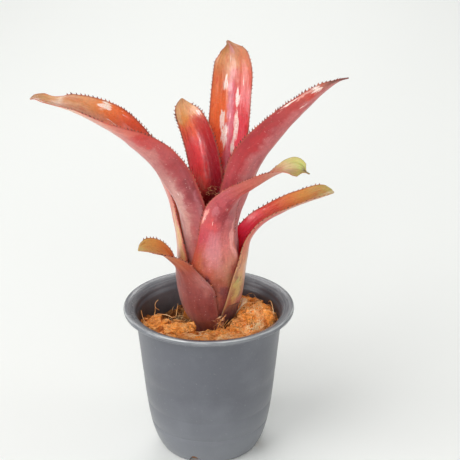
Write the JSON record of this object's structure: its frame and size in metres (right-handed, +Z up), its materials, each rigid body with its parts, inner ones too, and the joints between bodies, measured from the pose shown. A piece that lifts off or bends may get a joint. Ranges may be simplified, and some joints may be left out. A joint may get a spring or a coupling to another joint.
{
  "type": "potted bromeliad",
  "caption": "Red bromeliad rosette of channelled, spine-edged leaves on a short stem, standing in husk in a round lipped nursery pot.",
  "frame": {"origin": "middle of the pot's underside, on the surface that the pot stands on", "axes": "+Z up through the pot, +X to the right and -Y towards the viewer, so that the long leaf points to -X and the short one to the front left"},
  "size_m": [0.2015, 0.12, 0.2902],
  "materials": {
    "pot_plastic": "satin",
    "coconut_husk": "matte",
    "stem_flesh": "matte",
    "dead_sheath": "satin",
    "dry_sheath": "matte",
    "blade_front_left_short": "satin",
    "blade_right_low": "satin",
    "blade_back_left": "satin",
    "blade_front": "satin",
    "blade_left_long": "satin",
    "blade_right_upper": "satin",
    "blade_back_tall": "satin",
    "blade_inner": "satin"
  },
  "bodies": {
    "root": {"pot": "pot_plastic", "husk_bed": "coconut_husk", "stem": "stem_flesh", "old_sheath_stub": "dead_sheath", "dry_sheath_flap": "dry_sheath", "leaf_front_left_short": "blade_front_left_short", "leaf_right_low": "blade_right_low", "leaf_back_left": "blade_back_left", "leaf_front": "blade_front", "leaf_left_long": "blade_left_long", "leaf_right_upper": "blade_right_upper", "leaf_back_tall": "blade_back_tall", "leaf_inner": "blade_inner"}
  },
  "joints": []
}
